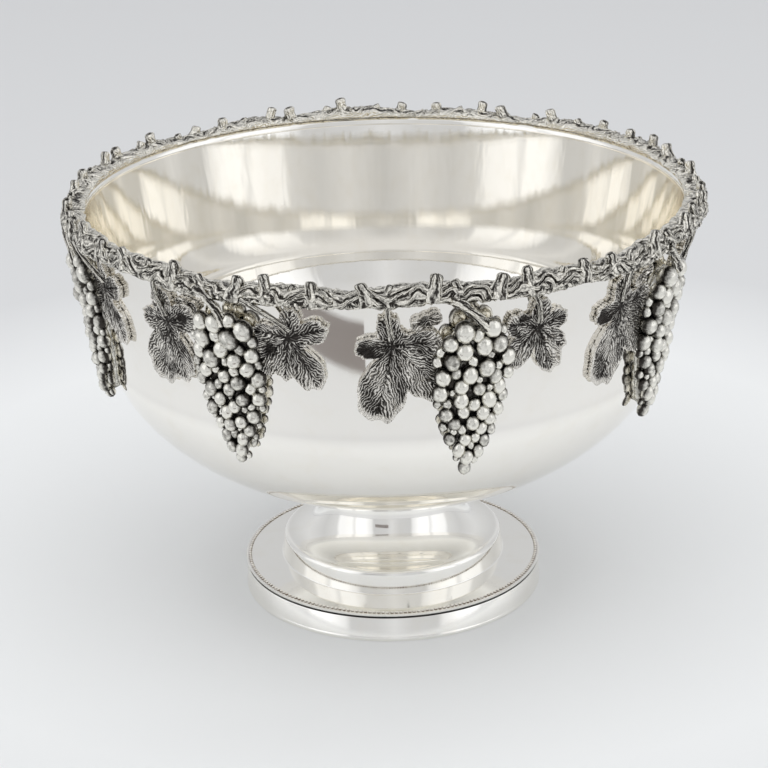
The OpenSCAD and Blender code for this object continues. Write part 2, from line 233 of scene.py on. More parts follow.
# ---------------------------------------------------------------- beaded wire
# A rolled strip, with a row of beads between two fine lines, bent into a hoop and soldered on the
# outer edge of the flange.
wire_low, wire_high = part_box("beaded_wire")
bead_r = 1.2 * mm
bead_sunk = 0.2 * bead_r
bead_step = 1.13 * bead_r
edge_line = 0.9 * mm
line_round = 0.2 * mm
line_top = 0.6 * mm
line_h = 0.45 * mm
wire_half = bead_r + edge_line
wire_mid = wire_high.x - bead_r - edge_line
wire_top = wire_high.z - bead_r - bead_sunk
wire_in = wire_mid - wire_half
wire_out = wire_mid + wire_half
wire_line = [
    (wire_in, wire_low.z + 0.3 * mm), (wire_out, wire_low.z),
    (wire_out, wire_top + line_round), (wire_out - line_round, wire_top + line_h),
    (wire_out - line_top, wire_top + line_h), (wire_mid + bead_r, wire_top),
    (wire_mid - bead_r, wire_top), (wire_in + line_top, wire_top + line_h),
    (wire_in + line_round, wire_top + line_h), (wire_in, wire_top + line_round),
]


def waves(seed, size, *axes):
    """Smooth noise, mostly from -1 to 1, over arrays of places: eight sine waves, about `size` long
    or longer."""
    draw = random.Random(seed)
    total = 0
    for _ in range(8):
        phase = draw.uniform(0, full_turn)
        for axis in axes:
            phase = phase + axis * draw.uniform(-1, 1) * full_turn / size
        total = total + np.sin(phase)
    return total / 4


def smooth(low, high, value):
    """Rises from 0 at low to 1 at high, slowly at both ends."""
    t = np.clip((value - low) / (high - low), 0, 1)
    return t * t * (3 - 2 * t)


def reshaped(bm, shape):
    """Moves the vertices of a bmesh to where `shape` puts arrays of x, y and z. Its fourth value
    is the patina: 0 where the metal is rubbed bright and 1 where it is black. Its fifth counts
    the chased lines: each whole number is the middle of a groove."""
    layers = bm.verts.layers.float
    patina_layer = layers.get("patina") or layers.new("patina")
    line_layer = layers.get("chased") or layers.new("chased")
    place = np.array([v.co for v in bm.verts])
    old = np.array([v[patina_layer] for v in bm.verts])
    x, y, z, patina, chased = shape(*place.T, old)
    for v, px, py, pz, dark, line in zip(bm.verts, x, y, z, patina, chased):
        v.co = (px, py, pz)
        v[patina_layer] = dark
        v[line_layer] = line
    return bm


def cast_silver(name, bright, black, grain, line_dark, line_deep):
    """Cast and oxidised silver: dark where the patina says so and in the chased lines, rubbed
    bright elsewhere. The grain is how fine its pits are. The lines are darkened by line_dark and
    cut line_deep into the metal."""
    material, tree, metal = shader(name, bright, 0.2)
    place = add(tree, "ShaderNodeTexCoord").outputs["Object"]
    patina = add(tree, "ShaderNodeAttribute", attribute_name="patina").outputs["Fac"]
    pits = add(tree, "ShaderNodeTexNoise", Scale=grain, Detail=4.0, Roughness=0.65)
    tree.links.new(place, pits.inputs["Vector"])
    # The chased lines: a cosine of the line count, which is moved a little so that they wander
    chased = add(tree, "ShaderNodeAttribute", attribute_name="chased").outputs["Fac"]
    wander = add(tree, "ShaderNodeTexNoise", Scale=260.0, Detail=2.0)
    tree.links.new(place, wander.inputs["Vector"])
    counted = add(tree, "ShaderNodeMath", operation="ADD")
    tree.links.new(chased, counted.inputs[0])
    tree.links.new(spread(tree, wander.outputs["Fac"], 0.3, 0.7, -0.45, 0.45), counted.inputs[1])
    angle = add(tree, "ShaderNodeMath", operation="MULTIPLY")
    tree.links.new(counted.outputs["Value"], angle.inputs[0])
    angle.inputs[1].default_value = full_turn
    groove = add(tree, "ShaderNodeMath", operation="COSINE")
    tree.links.new(angle.outputs["Value"], groove.inputs[0])
    # The patina, broken up by the pits and deepened in the lines
    worn = add(tree, "ShaderNodeMath", operation="ADD")
    tree.links.new(patina, worn.inputs[0])
    tree.links.new(spread(tree, pits.outputs["Fac"], 0.3, 0.7, -0.25, 0.25), worn.inputs[1])
    lined = add(tree, "ShaderNodeMath", operation="MULTIPLY_ADD")
    tree.links.new(groove.outputs["Value"], lined.inputs[0])
    lined.inputs[1].default_value = line_dark
    tree.links.new(worn.outputs["Value"], lined.inputs[2])
    dark = spread(tree, lined.outputs["Value"], 0.2, 0.85, 0.0, 1.0)
    tint = add(tree, "ShaderNodeMix", data_type="RGBA", A=(*bright, 1), B=(*black, 1))
    tree.links.new(dark, tint.inputs["Factor"])
    tree.links.new(tint.outputs["Result"], metal.inputs["Base Color"])
    tree.links.new(spread(tree, dark, 0, 1, 0.14, 0.42), metal.inputs["Roughness"])
    grooves = bumped(tree, groove.outputs["Value"], -line_deep)
    tree.links.new(bumped(tree, pits.outputs["Fac"], 0.12 * mm, grooves), metal.inputs["Normal"])
    return material


wire_silver = cast_silver(
    "wire_silver", bright=(0.95, 0.93, 0.88), black=(0.22, 0.17, 0.13), grain=300.0,
    line_dark=0.0, line_deep=0.0,
)
bm = spun(wire_line, pedestal_steps)
bead_count = int(math.pi * wire_mid / bead_step)
for i in range(bead_count):
    a = full_turn * i / bead_count
    seat = Matrix.Translation((wire_mid * math.cos(a), wire_mid * math.sin(a), wire_top + bead_sunk))
    bmesh.ops.create_icosphere(bm, subdivisions=2, radius=bead_r, matrix=seat)


def tarnish(x, y, z, old):
    """The hoop as it is, dull in the corners round the beads."""
    off_middle = np.abs(np.hypot(x, y) - wire_mid)
    low = smooth(1.1, 0.45, (z - wire_top) / bead_r)
    return x, y, z, low * smooth(1.5, 1.0, off_middle / bead_r), 0 * x


reshaped(bm, tarnish)
made("beaded_wire_hoop", bm, wire_silver, "bright_plate", "beaded_wire", sharp=60)

# ---------------------------------------------------------------- neck collar
# A short turned ring with a hollow side, soldered between the pedestal and the bowl. Its top is
# cut to the curve of the bowl's bottom.
collar_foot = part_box("neck_collar")[0].z
collar_wall = 3 * mm
collar_flare = 1.2 * mm
solder = 0.12 * mm
shoulder_r = 174 * mm
shoulder_z = 169 * mm
bottom_z = 69 * mm
bowl_across = 2.01
bowl_up = 1.69


def bowl_under(r):
    """Height of the bowl's outside at radius r, below the shoulder."""
    return shoulder_z - (shoulder_z - bottom_z) * (1 - (r / shoulder_r) ** bowl_across) ** (1 / bowl_up)


seat_r = neck_r + collar_flare
collar_h = bowl_under(seat_r) - solder - collar_foot
collar_side = [
    (neck_r + collar_flare * (2 * u - 1) ** 2, collar_foot + u * collar_h)
    for u in [i / 14 for i in range(15)]
]
collar_top = [
    (r, bowl_under(r) - solder)
    for r in [seat_r - (collar_wall + collar_flare) * i / 6 for i in range(1, 7)]
]
made(
    "neck_collar_ring", spun(collar_side + collar_top + [(neck_r - collar_wall, collar_foot)], 160),
    foot_silver, "bright_plate", "neck_collar",
)

# ---------------------------------------------------------------- bowl
# The bowl is one sheet, spun to a deep round bottom, a shoulder and a wall that flares to the
# edge. It is silver plated and buffed inside and out, and soldered on the collar.
edge_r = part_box("bowl_shell")[1].x
edge_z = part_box("bowl_shell")[1].z
bowl_wall = 1.6 * mm
bowl_flare = 1.12
bowl_steps = 288


def bowl_r(z):
    """Outer radius of the bowl at height z, for a number or an array of them."""
    above = np.clip((z - shoulder_z) / (edge_z - shoulder_z), 0, 1)
    below = np.clip((shoulder_z - z) / (shoulder_z - bottom_z), 0, 1)
    low = shoulder_r * (1 - below ** bowl_up) ** (1 / bowl_across)
    return np.where(z >= shoulder_z, shoulder_r + (edge_r - shoulder_r) * above ** bowl_flare, low)


bottom_h = shoulder_z - bottom_z
low_part = [shoulder_z - bottom_h * math.cos(t) ** (2 / bowl_up) for t in turns(0, 90, 56)[:-1]]
high_part = [shoulder_z + (edge_z - shoulder_z) * i / 30 for i in range(31)]
bowl_line = [(float(bowl_r(z)), z) for z in low_part + high_part]
bowl_line[0] = (0, bowl_line[0][1])
bowl_in = inside(bowl_line, bowl_wall)
bowl_in[-1] = (0, bowl_line[0][1] + bowl_wall)
bowl_in[0] = (edge_r - bowl_wall, edge_z)
bowl_silver = polished_silver(
    "bowl_silver", (0.96, 0.94, 0.895), roughness=0.03, wave=0.1 * mm, wave_size=45 * mm,
    streak=0.13 * mm,
)
made(
    "bowl_spinning", spun(bowl_line + bowl_in, bowl_steps, closed=False),
    bowl_silver, "bowl_plate", "bowl_shell",
)

# ---------------------------------------------------------------- rim strip
# A half-round strip, soldered all the way round on the edge of the bowl. It gives the thin sheet a
# safe edge and carries the cast vine.
strip_low, strip_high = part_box("rim_strip")
strip_r = edge_r - bowl_wall / 2
strip_half = strip_high.x - strip_r
strip_h = strip_high.z - strip_low.z
strip_line = [
    (strip_r + strip_half * math.cos(t), strip_low.z + strip_h * math.sin(t))
    for t in turns(0, 180, 20)
]
made("rim_strip_hoop", spun(strip_line, bowl_steps), bowl_silver, "bright_plate", "rim_strip")

# ---------------------------------------------------------------- vine
# The vine is cast in eight lengths by the lost-wax way, filed to fit end to end and soldered on
# the outside of the strip. Its back is left smooth. The bark is oxidised dark and then rubbed, so
# that only the hollows stay black.
groups = 8
group_turn = full_turn / groups
first_az = math.radians(14)
vine_thick = 4.4 * mm
vine_wander = 1.6 * mm
vine_rise = 4 * mm
strip_out = strip_high.x
vine_r = strip_out + 0.6 * vine_thick
vine_z = edge_z + vine_rise
vine_sides = 56
vine_rings = 210
vine_over = 6 * mm
twig_h = 12 * mm
twig_r = 3.1 * mm
vine_silver = cast_silver(
    "vine_silver", bright=(0.88, 0.85, 0.77), black=(0.05, 0.045, 0.04), grain=700.0,
    line_dark=0.27, line_deep=0.25 * mm,
)
# Each cut twig: its azimuth from the group's middle and its lean, in degrees, and its height and
# width as shares of a full twig's
twigs = [
    [-18, -18, 0.78, 1.25], [-13.5, 24, 0.62, 1.0], [-6.5, 12, 0.96, 1.4], [-1.5, -26, 0.66, 1.1],
    [5, 14, 0.84, 1.5], [10.5, -12, 0.98, 1.2], [15, 28, 0.64, 1.0], [19.5, 4, 0.8, 1.35],
]
# Each gnarl in the bark: its azimuth from the group's middle and its place round the tube, in
# degrees, and its size in mm
gnarls = [[-19, -20, 5], [-13.5, -40, 6.5], [-3, -10, 4.5], [3.3, -40, 6], [12, 5, 4.5], [17, -35, 5.5]]


def vine_dz(a):
    """How far the vine's middle winds up and down at azimuth a."""
    return vine_wander * (0.6 * np.sin(6 * a + math.radians(40)) + 0.4 * np.sin(14 * a))


def vine_fat(a):
    """Half the vine's thickness at azimuth a."""
    return vine_thick * (1 + 0.1 * np.sin(16 * a) + 0.06 * np.sin(28 * a + math.radians(70)))


def bark(s, p):
    """Height of the bark, from about -1 to 1, and its chased lines, at s metres along the vine and
    angle p round it. Strands and threads run along the vine, and wind round each gnarl in rings."""
    flow = p + 0.75 * waves(5, 26 * mm, s) + 0.35 * waves(6, 9 * mm, s, p * 5 * mm)
    rings = 0
    for gnarl_az, gnarl_p, size in gnarls:
        along = (s - math.radians(gnarl_az) * vine_r) / (size * mm)
        round_it = (p - math.radians(gnarl_p)) * vine_thick / (0.55 * size * mm)
        far = np.hypot(along, round_it)
        near = np.exp(-far ** 4)
        flow = flow + 0.5 * near * np.sign(round_it) * (1 - far)
        rings = rings + near * np.cos(5 * far + 0.8 * np.sin(2 * np.arctan2(round_it, along)))
    strands = np.abs(np.sin(3.5 * flow + 0.05 * s / mm + 0.4 * waves(7, 7 * mm, s, p * 5 * mm)))
    threads = np.sin(13 * flow + 0.9 * waves(8, 5 * mm, s, p * 5 * mm))
    calm = 0.8 * np.clip(np.abs(rings), 0, 1)
    return (1 - calm) * (1.6 * strands - 0.8 + 0.34 * threads) + 0.6 * rings, 2.9 * flow + 0.5 * rings


def tube(sides, rings):
    """A closed tube of radius 1 and length 1 along Z, cut into rings."""
    bm = bmesh.new()
    bmesh.ops.create_cone(bm, cap_ends=True, segments=sides, radius1=1, radius2=1, depth=1)
    lengthwise = [e for e in bm.edges if abs(e.verts[0].co.z - e.verts[1].co.z) > 0.5]
    bmesh.ops.subdivide_edges(bm, edges=lengthwise, cuts=rings)
    return bm


def vine_length(n):
    """One cast length of the vine with its twigs."""
    middle = first_az + group_turn * n
    half = group_turn / 2 - solder / 2 / edge_r
    bm = tube(vine_sides, vine_rings)

    def shape(x, y, z, old):
        turn = 2 * half * z
        a = middle + turn
        p = np.arctan2(y, x)
        end = smooth(0.5, 0.485, np.abs(z))
        rough, chased = bark(turn * vine_r, p)
        front = smooth(-0.8, -0.25, np.cos(p))
        swell = 1
        for gnarl_az, gnarl_p, size in gnarls:
            away = (turn - math.radians(gnarl_az)) * vine_r / (size * mm)
            swell = swell + 0.16 * np.exp(-away ** 2) * np.cos(p - math.radians(gnarl_p)).clip(0)
        fat = 1.12 * vine_fat(a) * swell * (1 + front * 0.2 * rough)
        ragged = 0.9 * mm * waves(9, 15 * mm, turn * vine_r)
        height = vine_z + vine_dz(a) + fat * y + ragged
        # Above the strip the vine leans in over it, with a scalloped edge
        over = smooth(strip_high.z + solder, strip_high.z + 1.5 * mm, height)
        scallop = 1.3 + 0.5 * waves(10, 11 * mm, turn * vine_r)
        r = vine_r + fat * np.where(x < 0, x * (1 + scallop * over), x)
        r = np.maximum(r, strip_out + solder - vine_over * over)
        patina = front * (0.28 + 0.72 * smooth(0.55, -0.6, rough)) * (0.55 + 0.45 * end)
        return r * np.sin(a), -r * np.cos(a), height, patina - 0.3 * (1 - front), chased

    reshaped(bm, shape)
    for az, lean, share, wide in twigs:
        a = middle + math.radians(az + 0.8 * math.sin(5 * n + az))
        add_twig(bm, a, math.radians(lean), twig_h * share, wide, n * 10 + az)
    return bm


def add_twig(bm, a, lean, height, wide, seed):
    """Adds a twig that was pruned short: it spreads at its root and has a rolled, hollow end."""
    # The side from the root to the hollow, as shares of the twig's radius and height
    outline = [
        (0, -0.3), (1.5, -0.3), (1.45, 0.1), (1.25, 0.3), (1.02, 0.48), (0.92, 0.66), (0.95, 0.8),
        (0.93, 0.91), (0.78, 1.0), (0.55, 1.03), (0.36, 1.0), (0.2, 0.95), (0, 0.94),
    ]
    size = twig_r * (0.35 + 0.6 * wide)
    twig = spun([(r * size, h * height) for r, h in outline], 22, closed=False)
    seat_r = strip_out + solder + 1.2 * size
    seat = Vector((seat_r * math.sin(a), -seat_r * math.cos(a), vine_z + float(vine_dz(a))))
    stand = Matrix.Translation(seat) @ Matrix.Rotation(a, 4, "Z") @ Matrix.Rotation(lean, 4, "Y")

    def shape(x, y, z, old):
        p = np.arctan2(y, x)
        grooves = np.sin(5 * p + seed) + 0.5 * np.sin(9 * p + 0.75 * z / mm)
        side = smooth(0.1, 0.5, np.hypot(x, y) / size)
        swell = 1 + 0.09 * grooves * side
        hollow_end = smooth(0.62, 0.3, np.hypot(x, y) / size) * (z > 0.9 * height)
        back = smooth(0.2, 0.8, y / size)
        patina = np.maximum((0.2 + 0.8 * smooth(0.6, -1.0, grooves)) * side * (1 - back), hollow_end)
        bow = 0.16 * size * np.sin(3 * z / height + seed)
        return x * swell + bow, 0.85 * y * swell, z, 0.95 * patina - 0.3 * back, 1.6 * p + 0.1 * z / mm

    reshaped(twig, shape)
    twig.transform(stand)
    join(bm, twig)


def join(bm, other):
    """Adds another bmesh's faces to this one."""
    mesh = bpy.data.meshes.new("joined")
    other.to_mesh(mesh)
    other.free()
    bm.from_mesh(mesh)
    bpy.data.meshes.remove(mesh)


for n in range(groups):
    made(
        f"vine_casting_{n + 1}", vine_length(n),
        vine_silver, "vine_cast", f"vine_length_{n + 1}", sharp=70,
    )

# ---------------------------------------------------------------- leaves
# Vine leaves, cast in one with their veins and raised rims, and soldered on the wall a little
# under the vine. There are two patterns of group, used in pairs round the rim. The veins are
# filled with oxide, and the rims and the tops of the veins are rubbed bright.
leaf_silver = cast_silver(
    "leaf_silver", bright=(0.86, 0.83, 0.77), black=(0.05, 0.045, 0.041), grain=900.0,
    line_dark=0.42, line_deep=0.4 * mm,
)
# Each leaf: its heart to the right of the group's middle and above the vine's, in mm, then its
# lobes, each with its direction in degrees, its length in mm and half the angle that it spans, and
# then the pit where its edge curls in, with its place from the heart and its radius in mm
left_leaves = [
    [(-43, -29), [(100, 19, 45), (188, 21, 42), (258, 48, 36), (312, 43, 36), (2, 28, 38)], (-14, -7, 5)],
    [(-36, -29), [(95, 22, 48), (180, 20, 46), (252, 41, 42), (285, 36, 36), (20, 26, 44)], (12, 4, 3)],
]
right_leaves = [
    [
        (41, -27), [(165, 21, 44), (85, 18, 42), (15, 19, 42), (318, 24, 34), (293, 31, 34), (228, 29, 38)],
        (-9, 6, 3),
    ],
    [
        (45, -26), [(80, 19, 40), (18, 24, 38), (297, 34, 34), (262, 26, 34), (222, 31, 44), (172, 21, 38)],
        (-12, -9, 3.5),
    ],
]
# The least radius of a leaf in mm, where its lobes part
leaf_waist = 11
leaf_spins = 300
leaf_rings = 60
edge_lift = 3.1 * mm
middle_lift = 2.3 * mm
least_lift = 1.2 * mm
vein_pitch = 3.4 * mm
vein_deep = 0.45 * mm


def on_wall(x, h, lift):
    """Lays flat places on the bowl's wall in front: x to the right, h above the vine's middle and
    lift out of the wall."""
    z = vine_z + h
    tiny = 0.1 * mm
    lean = (bowl_r(np.minimum(z, edge_z) + tiny) - bowl_r(np.minimum(z, edge_z) - tiny)) / (2 * tiny)
    out = 1 / np.sqrt(1 + lean ** 2)
    r = bowl_r(z) + lift * out
    return x, -np.sqrt(r ** 2 - x ** 2), z - lift * out * lean


def turned(bm, angle):
    """A copy of a bmesh, turned round the bowl's axis."""
    copy = bm.copy()
    copy.transform(Matrix.Rotation(angle, 4, "Z"))
    return copy


def lobe_lines(lobes, turn, waist):
    """For each angle round the heart: the outline's radius, and the midrib that is nearest."""
    best = np.full_like(turn, waist * mm)
    rib = np.zeros_like(turn)
    strongest = np.zeros_like(turn)
    for direction, length, half in lobes:
        away = np.abs((np.degrees(turn) - direction + 540) % 360 - 180) / half
        radius = length * mm * np.sqrt(np.cos(np.radians(90 * np.minimum(away, 1))))
        best = np.maximum(best, radius)
        pull = radius + 0.01 * mm * (2 - away)
        rib = np.where(pull > strongest, math.radians(direction), rib)
        strongest = np.maximum(pull, strongest)
    return best, rib


def leaf_casting(heart, lobes, pit, seed, waist=leaf_waist, spins=leaf_spins, oxide=1.0):
    """A leaf on the front of the bowl, with its heart at azimuth 0. A round disc with a side wall
    and a back is stretched to the outline of the lobes, and its face is then cut with veins."""
    top = [(i / leaf_rings, 1) for i in range(leaf_rings + 1)]
    side = [(0.998, 0.8), (0.98, 0.5), (0.96, 0.25), (0.945, 0)]
    under = [(0.7, 0), (0.35, 0), (0, 0)]
    bm = spun(top + side + under, spins, closed=False)

    def shape(x, y, level, old):
        # Where each point lies: r from the heart, and u along and v across its nearest midrib
        share = np.hypot(x, y)
        turn = np.arctan2(y, x)
        outline, rib = lobe_lines(lobes, turn, waist)
        scallop = 1 + 0.022 * np.sin(19 * turn + seed) + 0.018 * np.sin(31 * turn + 2 * seed)
        r = share * outline * scallop
        u = r * np.cos(turn - rib)
        v = r * np.sin(turn - rib)
        px, ph = r * np.cos(turn), r * np.sin(turn)
        # The veins run out and forward from each midrib, and waver a little
        bend = 1.1 * mm * waves(seed, 11 * mm, px, ph) + 0.6 * mm * waves(seed + 1, 4.5 * mm, px, ph)
        phase = (u - 2.1 * np.abs(v) + 12 * v * v + 1.6 * bend) / vein_pitch
        veins = 0.5 + 0.5 * np.cos(full_turn * (phase + 0.5))
        midrib = np.exp(-(v / (0.55 * mm)) ** 2)
        # The face: a cup with a raised rim, drooping places and one curl, over the bowl's wall
        inner = 1 - smooth(0.9, 0.965, share)
        cup = smooth(0.45, 0.9, share) * (1 + 0.3 * np.sin(5 * turn + seed))
        droop = 0.8 * mm * waves(seed + 2, 26 * mm, px, ph)
        rim = np.sqrt(np.clip(1 - ((share - 0.955) / 0.05) ** 2, 0, 1))
        curl = np.exp(-((px - pit[0] * mm) ** 2 + (ph - pit[1] * mm) ** 2) / (pit[2] * mm) ** 2)
        body = middle_lift + (edge_lift - middle_lift) * cup + droop * inner - 2.6 * mm * curl
        relief = inner * (vein_deep * (veins - 0.5) - 0.5 * mm * midrib) + 0.35 * mm * rim
        fade = smooth(0.02, 0.1, share)
        lift = np.maximum(body + relief * fade, least_lift)
        lift = solder + (lift - solder) * level
        # Dark on the face and round the heart, bright on the rim, and painted shade low on the edge wall
        # where it meets the bowl's wall
        rubbed = waves(seed + 3, 15 * mm, px, ph)
        heart_dark = 0.3 * np.exp(-(r / (9 * mm)) ** 2)
        patina = inner * (0.57 + 0.34 * rubbed + 0.5 * midrib + heart_dark + curl) - 0.4 * (1 - inner)
        # Below the top of the face, the darkening towards the bowl's wall is painted shade under the leaf's
        # raised edge
        patina = np.where(level < 0.95, smooth(0.4, 0.0, level) - 0.4, oxide * patina)
        return (*on_wall(px, heart[1] * mm + ph, lift), patina, phase)

    return reshaped(bm, shape)


def kind(n):
    """The pattern of group n, 0 or 1. The patterns change after every second group."""
    return (n // 2) % 2


for side_name, leaves in (("left", left_leaves), ("right", right_leaves)):
    castings = [leaf_casting(*leaf, seed + 1) for seed, leaf in enumerate(leaves)]
    for n in range(groups):
        heart_s = leaves[kind(n)][0][0] * mm
        az = first_az + group_turn * n + heart_s / edge_r
        made(
            f"leaf_{side_name}_casting_{n + 1}", turned(castings[kind(n)], az),
            leaf_silver, "leaf_cast", f"leaf_{side_name}_{n + 1}", sharp=80,
        )

# ---------------------------------------------------------------- grapes
# Each bunch is one hollow-backed casting: oval grapes of several sizes that crowd on a low
# crown, biggest at the top. The gaps between them are black with oxide and with painted shade, and
# the fronts of the grapes are rubbed and buffed and carry a painted highlight and a small painted
# dark reflection.
grape_silver = cast_silver(
    "grape_silver", bright=(0.88, 0.86, 0.79), black=(0.05, 0.045, 0.04), grain=420.0,
    line_dark=0.0, line_deep=0.0,
)
bunch_len = 91 * mm
bunch_w = 45 * mm
bunch_peak = 0.33
# For each pattern of bunch: its place beside the group's middle, its top and how far it leans
bunch_s = [1 * mm, 7.5 * mm]
bunch_top = [-16 * mm, -14 * mm]
bunch_lean = [-2 * mm, 2 * mm]
backing_edge = 1.5 * mm
backing_crown = 4.5 * mm
backing_share = 0.74
grape_top_r = 5.3 * mm
grape_tip_r = 3.3 * mm
grape_tries = 6000
most_grapes = 85
# How near two grapes may come, as a share of their two radii together
nearest = 0.84


def bunch_half(u):
    """Half the width of a bunch at the share u of its length."""
    return bunch_w / 2 * (u / bunch_peak) ** 0.35 * ((1 - u) / (1 - bunch_peak)) ** 0.7


def bunch_casting(k):
    """A bunch on the front of the bowl: a domed backing, and grapes dropped on it one by one where
    there is room, ever smaller so that they fill the gaps."""
    draw = random.Random(40 + k)
    bm = spun([(i / 14, 1) for i in range(15)] + [(1, 0), (0.5, 0), (0, 0)], 60, closed=False)
    layer = bm.verts.layers.float.new("patina")
    for v in bm.verts:
        u = min(max((1 - v.co.y) / 2, 0.004), 0.996)
        x = v.co.x / math.sqrt(max(1 - v.co.y ** 2, 1e-4))
        crown = math.sqrt(max(1 - min(abs(x), 1) ** 2, 0))
        lift = solder + v.co.z * (backing_edge + backing_crown * crown)
        wide = min(max(x, -1), 1) * backing_share * bunch_half(u)
        v.co = (wide + bunch_lean[k] * (2 * u - 1), -bunch_len * (0.03 + 0.93 * u), lift)
        v[layer] = 0.85 if lift > 2 * mm else 0.4
    grapes = []
    for i in range(grape_tries):
        u = draw.uniform(0.03, 0.985)
        full = 1.1 - 0.5 * min(i / 4000, 1)
        r = (grape_top_r + (grape_tip_r - grape_top_r) * u) * draw.uniform(0.88, 1.04) * full
        room = bunch_half(u) - 0.6 * r
        if room <= 0 or len(grapes) >= most_grapes:
            continue
        x = draw.uniform(-1, 1) * room
        gaps = [math.hypot(x - gx, (u - gu) * bunch_len) - nearest * (r + gr) for gx, gu, gr in grapes]
        if all(gap >= 0 for gap in gaps):
            grapes.append((x, u, r))
    for x, u, r in grapes:
        crown = math.sqrt(max(1 - (x / bunch_half(u)) ** 2, 0))
        tall = draw.uniform(1.05, 1.3)
        tone = draw.uniform(-0.22, 0.2)
        tilt = Matrix.Rotation(draw.uniform(-0.5, 0.5), 4, "Z")
        lift = backing_edge + backing_crown * crown + r * 0.45 * crown + draw.uniform(-0.8, 0.9) * mm
        seat = Matrix.Translation((x + bunch_lean[k] * (2 * u - 1), -bunch_len * u, lift))
        size = Matrix.Diagonal((r, r * tall, r, 1))
        grape = bmesh.ops.create_icosphere(bm, subdivisions=2, radius=1, matrix=seat @ tilt @ size)
        # Black low down from oxide and painted shade, bright on the front from rubbing and a painted
        # highlight, with a small painted dark reflection in the middle of the front, and half bright at the
        # back
        for v in grape["verts"]:
            facing = (v.co.z - lift) / r
            front = 0.95 * float(smooth(-0.05, 0.98, facing))
            back = 0.75 * float(smooth(-0.1, -0.6, facing))
            # A painted dark reflection of the camera and room on each grape's front, not a dent in it
            painted_dark_reflection = 0.3 if facing > 0.97 else 0
            v[layer] = 1.05 + tone + painted_dark_reflection - front - back

    def shape(x, y, z, old):
        return (*on_wall(x, bunch_top[k] + y, np.maximum(z, solder)), old, 0.5 + 0 * x)

    return reshaped(bm, shape)


bunches = [bunch_casting(k) for k in (0, 1)]
for n in range(groups):
    az = first_az + group_turn * n + bunch_s[kind(n)] / edge_r
    made(
        f"grape_casting_{n + 1}", turned(bunches[kind(n)], az),
        grape_silver, "grape_cast", f"grape_bunch_{n + 1}", sharp=80,
    )

# ---------------------------------------------------------------- leaflets
# A small folded leaf of the same casting metal, soldered in the corner between the vine, the left
# leaf and the bunch.
leaflets = [
    [(-24.5, -15), [(200, 9, 60), (20, 9, 60)], (0, 0, 2)],
    [(-17.5, -14.5), [(170, 8, 60), (350, 8, 60)], (0, 0, 2)],
]
leaflet_castings = [
    leaf_casting(*leaf, seed + 7, waist=4.2, spins=90, oxide=0.45) for seed, leaf in enumerate(leaflets)
]
for n in range(groups):
    az = first_az + group_turn * n + leaflets[kind(n)][0][0] * mm / edge_r
    made(
        f"leaflet_casting_{n + 1}", turned(leaflet_castings[kind(n)], az),
        leaf_silver, "leaf_cast", f"leaflet_{n + 1}", sharp=80,
    )

# ---------------------------------------------------------------- stalks
# Grooved rods, bent by hand, soldered from a gnarl of the vine down to the top of each bunch and to
# the heart of each leaf.
# Each stalk's curve: four points, each to the right of the group's middle, below the vine's middle
# and out of the wall, in mm. It starts at the first, ends at the last and is pulled by the others.
bunch_stalks = [
    [(-13, 0, 8), (-7, 3, 9), (1, 9, 9), (8, 19, 8)],
    [(-4, -1, 8), (2, 3, 10), (9, 8, 9), (9, 19, 8)],
]
leaf_stalks = [
    [
        [(-46, 0, 7), (-47, 7, 7), (-45, 16, 4), (-43, 25, 2)],
        [(34, 0, 7), (38, 7, 7), (41, 15, 5), (41, 24, 2)],
    ],
    [
        [(-37, 0, 7), (-39, 7, 7), (-38, 16, 4), (-36, 25, 2)],
        [(24, 2, 8), (33, 6, 9), (41, 13, 6), (45, 22, 2)],
    ],
]
stalk_r = 2.5 * mm
leaf_stalk_r = 0.6 * stalk_r


def stalk_rod(points, thick, seed):
    """A grooved rod bent along the curve of four points, on the front of the bowl."""

    def line(t):
        weights = ((1 - t) ** 3, 3 * t * (1 - t) ** 2, 3 * t ** 2 * (1 - t), t ** 3)
        right, down, lift = (sum(w * v for w, v in zip(weights, axis)) for axis in zip(*points))
        return right * mm, -down * mm, lift * mm

    def shape(x, y, z, old):
        t = z + 0.5
        at_x, at_h, at_lift = line(t)
        next_x, next_h, _ = line(t + 0.01)
        far = np.hypot(next_x - at_x, next_h - at_h)
        side_x, side_h = -(next_h - at_h) / far, (next_x - at_x) / far
        p = np.arctan2(y, x)
        grooves = np.sin(4 * p + 2 * t + seed) + 0.5 * np.sin(9 * p - 5 * t)
        fat = thick * (1 + 0.5 * (2 * t - 1) ** 4 + 0.1 * grooves + 0.08 * np.sin(9 * t + seed))
        lift = np.maximum(at_lift + fat * y, solder)
        place = on_wall(at_x + fat * x * side_x, at_h + fat * x * side_h, lift)
        return (*place, 0.15 + 0.8 * smooth(0.5, -0.9, grooves), 1.5 * p + 3 * t)

    return reshaped(tube(20, 26), shape)


for n in range(groups):
    rod = stalk_rod(bunch_stalks[kind(n)], stalk_r, n)
    for leaf_points in leaf_stalks[kind(n)]:
        join(rod, stalk_rod(leaf_points, leaf_stalk_r, n + 3))
    made(
        f"stalk_rods_{n + 1}", turned(rod, first_az + group_turn * n),
        vine_silver, "vine_cast", f"bunch_stalk_{n + 1}", sharp=70,
    )
    rod.free()

# ---------------------------------------------------------------- table, light and camera
# A table covered with pale paper, and the soft light of a white studio. The paper's colour carries a
# painted pool of light round the foot and painted shade that falls off to grey. The camera looks down at
# the front.
# Painted light and painted shade in the paper's colour, standing in for the fall-off of the studio light
paper_painted_light = (0.84, 0.85, 0.85, 1)
paper_painted_shade = (0.67, 0.675, 0.68, 1)
# The middle of the painted pool of light, and how far from it the paper's painted shade starts and is full
# grey
painted_light_middle = (0, 0.1, 0)
painted_light_r = 0.36
painted_shade_r = 0.56


